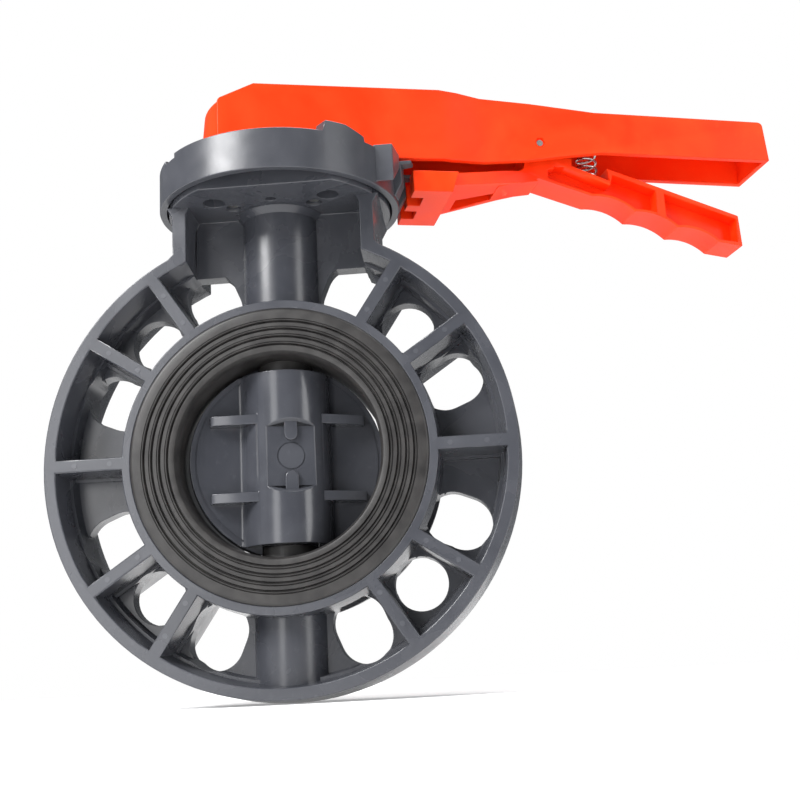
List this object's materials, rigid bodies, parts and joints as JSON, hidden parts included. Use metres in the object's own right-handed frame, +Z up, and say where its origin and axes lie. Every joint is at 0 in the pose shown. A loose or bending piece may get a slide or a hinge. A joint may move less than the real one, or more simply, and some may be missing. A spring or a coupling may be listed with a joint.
{
  "type": "butterfly valve",
  "caption": "Wafer butterfly valve in grey plastic with a rubber seat, a ribbed slotted body, a toothed index plate and a red lever with a sprung latch trigger.",
  "frame": {"origin": "centre of the flow bore, midway between the two faces", "axes": "+Y along the flow, +Z up the stem towards the lever, +X to the side the lever points to when closed"},
  "size_m": [0.33, 0.129, 0.2685],
  "materials": {
    "grey_upvc": "semi-gloss moulded dark grey plastic",
    "epdm_rubber": "matt black rubber",
    "red_abs": "satin moulded red plastic",
    "stainless": "turned stainless steel",
    "white_bearing": "natural white bearing plastic"
  },
  "bodies": {
    "valve": {"valve_body": "grey_upvc", "seat_liner": "epdm_rubber", "inner_stem_bush": "white_bearing", "upper_stem_bush": "white_bearing", "lower_stem_bush": "white_bearing", "upper_o_rings": "epdm_rubber", "lower_o_ring": "epdm_rubber", "thrust_washer": "white_bearing", "index_plate": "grey_upvc", "plate_screws": "stainless"},
    "handle": {"disc": "grey_upvc", "stem": "stainless", "retaining_ring": "stainless", "lever_handle": "red_abs", "lever_screw": "stainless", "lever_washer": "stainless", "spring_washer": "stainless", "trigger_pin": "stainless", "trigger_spring": "stainless"},
    "trigger": {"trigger_latch": "red_abs"}
  },
  "joints": [
    {"name": "handle_turn", "type": "hinge", "parent": "valve", "child": "handle", "pos_m": [0, 0, 0.1], "axis": [0, 0, 1], "range_deg": [-15, 75]},
    {"name": "trigger_squeeze", "type": "hinge", "parent": "handle", "child": "trigger", "pos_m": [0.11553, 0.03095, 0.1456], "axis": [0.2588, -0.9659, 0], "range_deg": [-3.2, 9.8], "stiffness_Nm_per_rad": 1.2, "deforming": ["trigger_spring"]}
  ]
}
